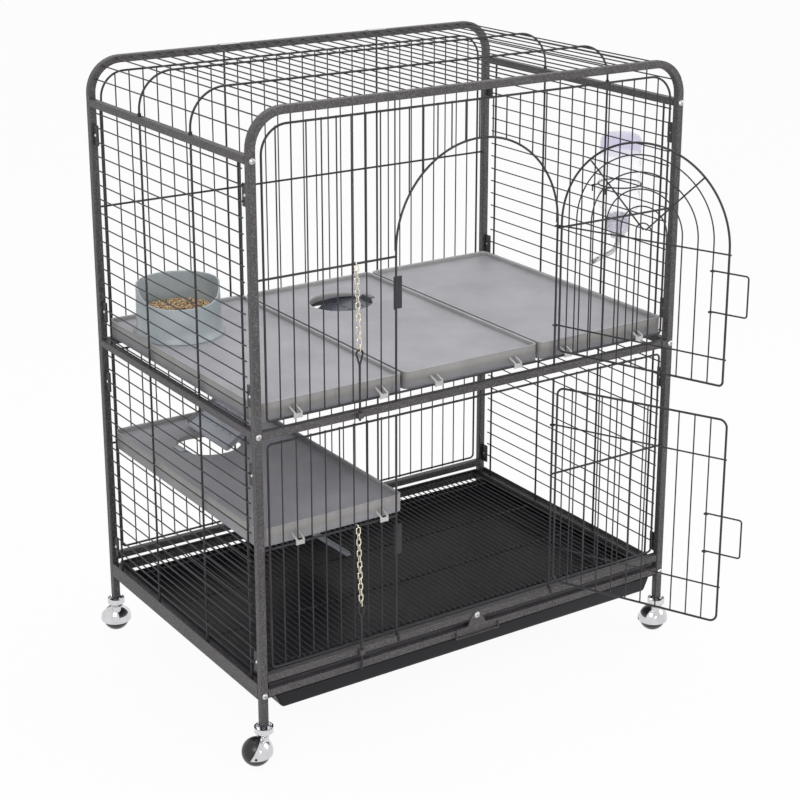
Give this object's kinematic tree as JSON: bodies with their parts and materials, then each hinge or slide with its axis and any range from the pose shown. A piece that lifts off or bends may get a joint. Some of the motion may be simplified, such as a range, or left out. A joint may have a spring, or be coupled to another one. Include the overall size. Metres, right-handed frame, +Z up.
{
  "type": "ferret cage",
  "caption": "Two-storey wire cage for ferrets on swivelling ball casters, with swinging doors, clip-in trays, ramps and a slide-out pan.",
  "frame": {"origin": "on the floor, under the middle of the four posts", "axes": "+Z up, +X to the right along the front, +Y to the back; the doors face -Y"},
  "size_m": [1.0355, 0.9915, 1.1628],
  "materials": {
    "frame_paint": "dark grey hammered paint",
    "wire_coating": "black coated steel wire",
    "bright_zinc": "bright zinc",
    "chrome": "polished chrome",
    "stainless": "stainless tube",
    "chain_brass": "pale brass plating",
    "tray_plastic": "grey moulded plastic",
    "ramp_plastic": "blue-grey moulded plastic",
    "bowl_plastic": "pale grey moulded plastic",
    "pan_plastic": "black moulded plastic",
    "bottle_plastic": "clear plastic",
    "cap_plastic": "white plastic",
    "ball_plastic": "black hard plastic"
  },
  "bodies": {
    "cage": {"front_arch_tube": "frame_paint", "rear_arch_tube": "frame_paint", "front_mid_rail": "frame_paint", "rear_mid_rail": "frame_paint", "front_grid_rail": "frame_paint", "rear_grid_rail": "frame_paint", "front_pan_rail": "frame_paint", "rear_pan_rail": "frame_paint", "left_top_rail": "frame_paint", "right_top_rail": "frame_paint", "left_mid_rail": "frame_paint", "right_mid_rail": "frame_paint", "left_floor_rail": "frame_paint", "right_floor_rail": "frame_paint", "pin_keepers": "frame_paint", "roof_panel": "wire_coating", "front_upper_panel": "wire_coating", "front_lower_panel": "wire_coating", "rear_upper_panel": "wire_coating", "rear_lower_panel": "wire_coating", "left_upper_panel": "wire_coating", "right_upper_panel": "wire_coating", "left_lower_panel": "wire_coating", "right_lower_panel": "wire_coating", "floor_grid": "wire_coating", "catch_plates": "wire_coating", "bottle_hanger": "wire_coating", "front_bolts": "bright_zinc", "rear_bolts": "bright_zinc", "pan_latch_screw": "bright_zinc", "rear_clips": "bright_zinc", "tab_screws": "bright_zinc", "sipper_tube": "stainless", "upper_chain": "chain_brass", "lower_chain": "chain_brass", "left_tray": "tray_plastic", "middle_tray": "tray_plastic", "right_tray": "tray_plastic", "lower_shelf": "tray_plastic", "upper_ramp": "ramp_plastic", "lower_ramp": "ramp_plastic", "bowl": "bowl_plastic", "bottle": "bottle_plastic", "bottle_cap": "cap_plastic"},
    "pan": {"pan": "pan_plastic"},
    "pan_latch": {"pan_latch": "frame_paint"},
    "upper_door": {"upper_door": "wire_coating"},
    "lower_door": {"lower_door": "wire_coating"},
    "upper_latch_bail": {"upper_latch_bail": "wire_coating"},
    "lower_latch_bail": {"lower_latch_bail": "wire_coating"},
    "upper_pin": {"upper_pin": "wire_coating"},
    "lower_pin": {"lower_pin": "wire_coating"},
    "front_left_caster": {"front_left_hood": "chrome"},
    "front_left_ball": {"front_left_ball": "ball_plastic"},
    "front_right_caster": {"front_right_hood": "chrome"},
    "front_right_ball": {"front_right_ball": "ball_plastic"},
    "rear_left_caster": {"rear_left_hood": "chrome"},
    "rear_left_ball": {"rear_left_ball": "ball_plastic"},
    "rear_right_caster": {"rear_right_hood": "chrome"},
    "rear_right_ball": {"rear_right_ball": "ball_plastic"}
  },
  "joints": [
    {"name": "upper_door_hinge", "type": "hinge", "parent": "cage", "child": "upper_door", "pos_m": [0.1736, -0.3, 0.77], "axis": [0, 0, 1], "range_deg": [-110, 35]},
    {"name": "lower_door_hinge", "type": "hinge", "parent": "cage", "child": "lower_door", "pos_m": [0.1736, -0.3, 0.38], "axis": [0, 0, 1], "range_deg": [-115, 30]},
    {"name": "upper_bail_swing", "type": "hinge", "parent": "upper_door", "child": "upper_latch_bail", "pos_m": [0.27993, -0.58971, 0.814], "axis": [0, 0, 1], "range_deg": [0, 120]},
    {"name": "lower_bail_swing", "type": "hinge", "parent": "lower_door", "child": "lower_latch_bail", "pos_m": [0.30477, -0.57934, 0.357], "axis": [0, 0, 1], "range_deg": [0, 120]},
    {"name": "pan_slide", "type": "slide", "parent": "cage", "child": "pan", "axis": [0, -1, 0], "range_m": [0, 0.45]},
    {"name": "latch_swing", "type": "hinge", "parent": "cage", "child": "pan_latch", "pos_m": [0, -0.309, 0.166], "axis": [0, -1, 0], "range_deg": [-90, 90]},
    {"name": "upper_pin_lift", "type": "slide", "parent": "cage", "child": "upper_pin", "axis": [0, 0, 1], "range_m": [0, 0.03], "deforming": ["upper_chain"]},
    {"name": "lower_pin_lift", "type": "slide", "parent": "cage", "child": "lower_pin", "axis": [0, 0, 1], "range_m": [0, 0.03], "deforming": ["lower_chain"]},
    {"name": "front_left_swivel", "type": "hinge", "parent": "cage", "child": "front_left_caster", "pos_m": [-0.45, -0.3, 0.07], "axis": [0, 0, 1], "continuous": true},
    {"name": "front_left_roll", "type": "hinge", "parent": "front_left_caster", "child": "front_left_ball", "pos_m": [-0.46212, -0.293, 0.026], "axis": [-0.5, -0.866, 0], "continuous": true},
    {"name": "front_right_swivel", "type": "hinge", "parent": "cage", "child": "front_right_caster", "pos_m": [0.45, -0.3, 0.07], "axis": [0, 0, 1], "continuous": true},
    {"name": "front_right_roll", "type": "hinge", "parent": "front_right_caster", "child": "front_right_ball", "pos_m": [0.45433, -0.28669, 0.026], "axis": [-0.9511, 0.309, 0], "continuous": true},
    {"name": "rear_left_swivel", "type": "hinge", "parent": "cage", "child": "rear_left_caster", "pos_m": [-0.45, 0.3, 0.07], "axis": [0, 0, 1], "continuous": true},
    {"name": "rear_left_roll", "type": "hinge", "parent": "rear_left_caster", "child": "rear_left_ball", "pos_m": [-0.44567, 0.31332, 0.026], "axis": [-0.9511, 0.309, 0], "continuous": true},
    {"name": "rear_right_swivel", "type": "hinge", "parent": "cage", "child": "rear_right_caster", "pos_m": [0.45, 0.3, 0.07], "axis": [0, 0, 1], "continuous": true},
    {"name": "rear_right_roll", "type": "hinge", "parent": "rear_right_caster", "child": "rear_right_ball", "pos_m": [0.45433, 0.31332, 0.026], "axis": [-0.9511, 0.309, 0], "continuous": true}
  ]
}
